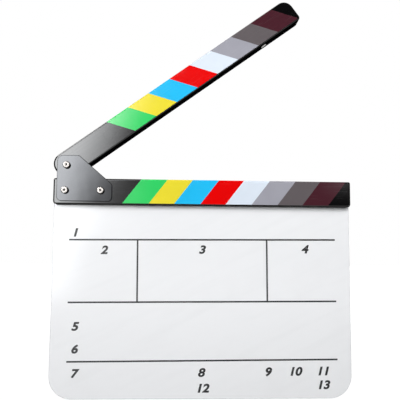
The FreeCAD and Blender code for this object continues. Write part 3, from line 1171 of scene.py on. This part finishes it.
class SLATE_OT_screws(bpy.types.Operator):
    """Grow the cap screws, their washers and the plain nuts"""

    bl_idname = "slate.screws"
    bl_label = "Screws, washers and nuts"

    socket_width = 2.5 * MM
    socket_depth = 2.0 * MM
    head_rounding = 1.0 * MM
    nut_play = 0.1 * MM
    nut_rounding = 0.9 * MM
    washer_rounding = 0.2 * MM

    def execute(self, context):
        sizes, colours = context.scene.slate_sizes, context.scene.slate_colours
        steel = bare_metal("bright_steel", colours.steel, roughness=0.42, mark_size=0.8)
        plate_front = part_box("front_hinge_plate")[0].y
        tree = cap_screw_tree()
        for name, seed, nodes in (
            ("pivot_cap_screw", 3, ["pivot_screw"]),
            ("plate_cap_screws", 5, PLATE_SCREWS),
        ):
            low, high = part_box(nodes[0])
            self.fit(name, tree, nodes, plate_front, {
                "Head Diameter": high.x - low.x,
                "Head Height": plate_front - low.y,
                "Head Rounding": self.head_rounding,
                "Socket Width": self.socket_width,
                "Socket Depth": self.socket_depth,
                "Shank Diameter": SCREW_DIAMETER,
                "Shank Length": high.y - plate_front + SHANK_SEAT,
                "Thread Pitch": sizes.thread_pitch,
                "Turn Seed": seed,
                "Finish": steel,
            })

        nodes = ["left_plate_nut", "right_plate_nut"]
        low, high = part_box(nodes[0])
        self.fit("plate_nuts", hexagon_nut_tree(), nodes, low.y, {
            "Width": high.x - low.x,
            "Height": high.y - low.y,
            "Bore": SCREW_DIAMETER + self.nut_play,
            "Rounding": self.nut_rounding,
            "Turn Seed": 2,
            "Finish": steel,
        })

        nodes = ["pivot_washer", "left_plate_washer", "right_plate_washer"]
        low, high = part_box(nodes[0])
        self.fit("nut_washers", washer_tree(), nodes, low.y, {
            "Diameter": high.x - low.x,
            "Thickness": high.y - low.y,
            "Bore": 2 * SCREW_HOLE_RADIUS,
            "Rounding": self.washer_rounding,
            "Turn Seed": 1,
            "Finish": steel,
        })
        dress(steel, "pivot_lock_nut")
        return {"FINISHED"}

    def fit(self, name, tree, nodes, y, values):
        """Grow one piece for these nodes, which begin at this y."""
        piece = grow(name, tree, [on_axis(node, y) for node in nodes], values)
        settle(piece, SLATE, "bright_steel", *nodes)


class SLATE_OT_small_parts(bpy.types.Operator):
    """Dress the magnets, the board screws and the pivot's bush, ring and washers"""

    bl_idname = "slate.small_parts"
    bl_label = "Small parts"

    def execute(self, context):
        colours = context.scene.slate_colours
        nickel = bare_metal("nickel_plate", colours.nickel, roughness=0.16, mark_size=1.5)
        zinc = bare_metal("zinc_plate", colours.zinc, roughness=0.3, mark_size=1.0)
        brass = bare_metal("turned_brass", colours.brass, roughness=0.25, mark_size=0.8)
        dress(nickel, "lower_magnet", "arm_magnet")
        dress(zinc, *BOARD_SCREWS)
        dress(brass, "pivot_bush")
        dress(natural_nylon(colours), "pivot_lock_ring", "front_friction_washer", "rear_friction_washer")
        return {"FINISHED"}


def heights(*degrees):
    """How high directions at these angles above the horizon reach."""
    return [math.sin(math.radians(angle)) for angle in degrees]


def nearness(*degrees):
    """How far directions reach along one that lies at these angles from them."""
    return [math.cos(math.radians(angle)) for angle in degrees]


class SLATE_OT_stage(bpy.types.Operator):
    """Set up the floor, the studio light and the camera"""

    bl_idname = "slate.stage"
    bl_label = "Stage"

    floor_size = 12.0

    camera_place = Vector((-29.4, -553.55, 142.0)) * MM
    camera_yaw = math.radians(2.707)
    camera_pitch = math.radians(5.526)
    camera_roll = math.radians(0.448)
    focal_length = 49.37
    sensor_width = 36.0

    softbox_middle = Vector((-299.4, -1100.0, 427.2)) * MM
    softbox_size = (0.355, 0.85)
    softbox_fade = 0.252
    softbox_fall = 1.5
    softbox_lean = math.radians(20)
    softbox_radiance = 14.5
    side_lamp_middle = Vector((150.0, -400.0, 425.0)) * MM
    side_lamp_size = (0.5, 0.25)
    side_lamp_radiance = 2.75
    lamp_colour = (0.97, 0.985, 1.0)

    # Soft light from the room: from the sides, how much more from the camera's side, and from behind
    side_fill = 0.102
    front_fill = 0.374
    rear_fill = 1.5
    rear_fill_from = (0.0, 0.5)

    # What reflections show: a room, dark behind the camera, with two strips and a panel of light in it.
    # For each strip: where it begins and ends, as shares to the right, and the heights of its foot.
    darkness = 0.98
    dark_from = nearness(100, 70)
    left_strip = (-0.145, -0.115), (-0.085, -0.03), heights(-6, 4)
    right_strip = (0.255, 0.31), (0.302, 0.325), heights(5.6, 7.4)
    strip_tops = heights(8, 12.5)
    left_glow, right_glow = 1.0, 1.4
    panel_towards = Vector((-0.68, -0.45, 0.58)).normalized()
    panel_reach = nearness(20, 10)
    panel_glow = 24.0

    def execute(self, context):
        scene = context.scene
        scene.view_settings.view_transform = "Standard"
        self.make_floor()
        self.make_world(scene)
        self.make_softbox()
        self.make_side_lamp()
        self.make_camera(scene)
        return {"FINISHED"}

    def make_floor(self):
        mesh = bmesh.new()
        bmesh.ops.create_grid(mesh, x_segments=1, y_segments=1, size=self.floor_size / 2)
        make_piece("floor", mesh, [studio_floor()], Matrix.Translation((0, 0, cad_box[0].z)))

    def make_world(self, scene):
        """Fill light for the object, white for the camera, and a room for what surfaces reflect."""
        scene.world = bpy.data.worlds.new("studio_room")
        tree = Tree(scene.world)
        camera, passed_on = ray_kinds(tree)
        direction = tree.node("ShaderNodeTexCoord", output="Generated")
        right, away, up = xyz(tree, direction)
        towards_camera = -away

        def strip(begin, end, foot):
            return rise(tree, right, *begin) * (1 - rise(tree, right, *end)) * rise(tree, up, *foot)

        strips = self.left_glow * strip(*self.left_strip) + self.right_glow * strip(*self.right_strip)
        walls = (1 - rise(tree, up, *self.strip_tops)) * strips
        panel = self.panel_glow * rise(tree, along(tree, direction, self.panel_towards), *self.panel_reach)
        room = 1 - (self.darkness - walls - panel) * rise(tree, towards_camera, *self.dark_from)
        before = self.side_fill + self.front_fill * rise(tree, towards_camera, 0.0, 1.0)
        fill = before + self.rear_fill * rise(tree, away, *self.rear_fill_from)
        brightness = camera + passed_on * room + (1 - camera - passed_on) * fill
        light = tree.node("ShaderNodeBackground", {}, {"Color": brightness})
        tree.node("ShaderNodeOutputWorld", {}, {"Surface": light})

    def make_lamp(self, name, size, radiance, middle, facing):
        lamp = bpy.data.lights.new(name, "AREA")
        lamp.shape = "RECTANGLE"
        lamp.size, lamp.size_y = size
        lamp.energy = radiance * math.pi * lamp.size * lamp.size_y
        lamp.color = self.lamp_colour
        holder = link_object(name, lamp)
        holder.matrix_world = Matrix.Translation(middle) @ facing
        holder.visible_camera = False
        return holder

    def make_softbox(self):
        """A leaning softbox at the left, whose light fades out towards its right side."""
        middle = self.softbox_middle
        lean = Matrix.Rotation(self.softbox_lean, 4, "Y")
        facing = lean @ Matrix.Rotation(math.pi / 2, 4, "X")
        lamp = self.make_lamp("softbox", self.softbox_size, self.softbox_radiance, middle, facing).data
        tree = Tree(lamp)
        across = lean @ Vector((1, 0, 0))
        reach = along(tree, tree.node("ShaderNodeNewGeometry", output="Position"), across)
        right = across.dot(middle) + lamp.size / 2
        glow = (1 - rise(tree, reach, right - self.softbox_fade, right)) ** self.softbox_fall
        light = tree.node("ShaderNodeEmission", {}, {"Color": glow})
        tree.node("ShaderNodeOutputLight", {}, {"Surface": light})

    def make_side_lamp(self):
        """A soft lamp in front at the upper right, which reflections do not show."""
        middle = self.side_lamp_middle
        facing = (node_middle("slate_board") - middle).to_track_quat("-Z", "Y").to_matrix().to_4x4()
        lamp = self.make_lamp("side_lamp", self.side_lamp_size, self.side_lamp_radiance, middle, facing)
        lamp.visible_glossy = False

    def make_camera(self, scene):
        camera = bpy.data.cameras.new("camera")
        camera.lens = self.focal_length
        camera.sensor_width = self.sensor_width
        camera.clip_start = 10 * MM
        holder = link_object("camera", camera)
        holder.matrix_world = (
            Matrix.Translation(self.camera_place)
            @ Matrix.Rotation(-self.camera_yaw, 4, "Z")
            @ Matrix.Rotation(math.pi / 2 + self.camera_pitch, 4, "X")
            @ Matrix.Rotation(self.camera_roll, 4, "Z")
        )
        scene.camera = holder


OPERATORS = (
    SLATE_OT_board, SLATE_OT_form, SLATE_OT_sticks, SLATE_OT_labels, SLATE_OT_plates, SLATE_OT_screws,
    SLATE_OT_small_parts, SLATE_OT_stage,
)


class SLATE_PT_pieces(bpy.types.Panel):
    """Lists the steps that build the clapperboard"""

    bl_idname = "SLATE_PT_pieces"
    bl_label = "Clapperboard"
    bl_space_type = "VIEW_3D"
    bl_region_type = "UI"
    bl_category = "Clapperboard"

    def draw(self, context):
        for operator in OPERATORS:
            self.layout.operator(operator.bl_idname)


CLASSES = (SlateSizes, SlateColours, *OPERATORS, SLATE_PT_pieces)


def register():
    for cls in CLASSES:
        bpy.utils.register_class(cls)
    bpy.types.Scene.slate_sizes = bpy.props.PointerProperty(type=SlateSizes)
    bpy.types.Scene.slate_colours = bpy.props.PointerProperty(type=SlateColours)


def unregister():
    del bpy.types.Scene.slate_colours
    del bpy.types.Scene.slate_sizes
    for cls in reversed(CLASSES):
        bpy.utils.unregister_class(cls)


def main():
    register()
    for operator in OPERATORS:
        group, name = operator.bl_idname.split(".")
        getattr(getattr(bpy.ops, group), name)()


if __name__ == "__main__":
    main()
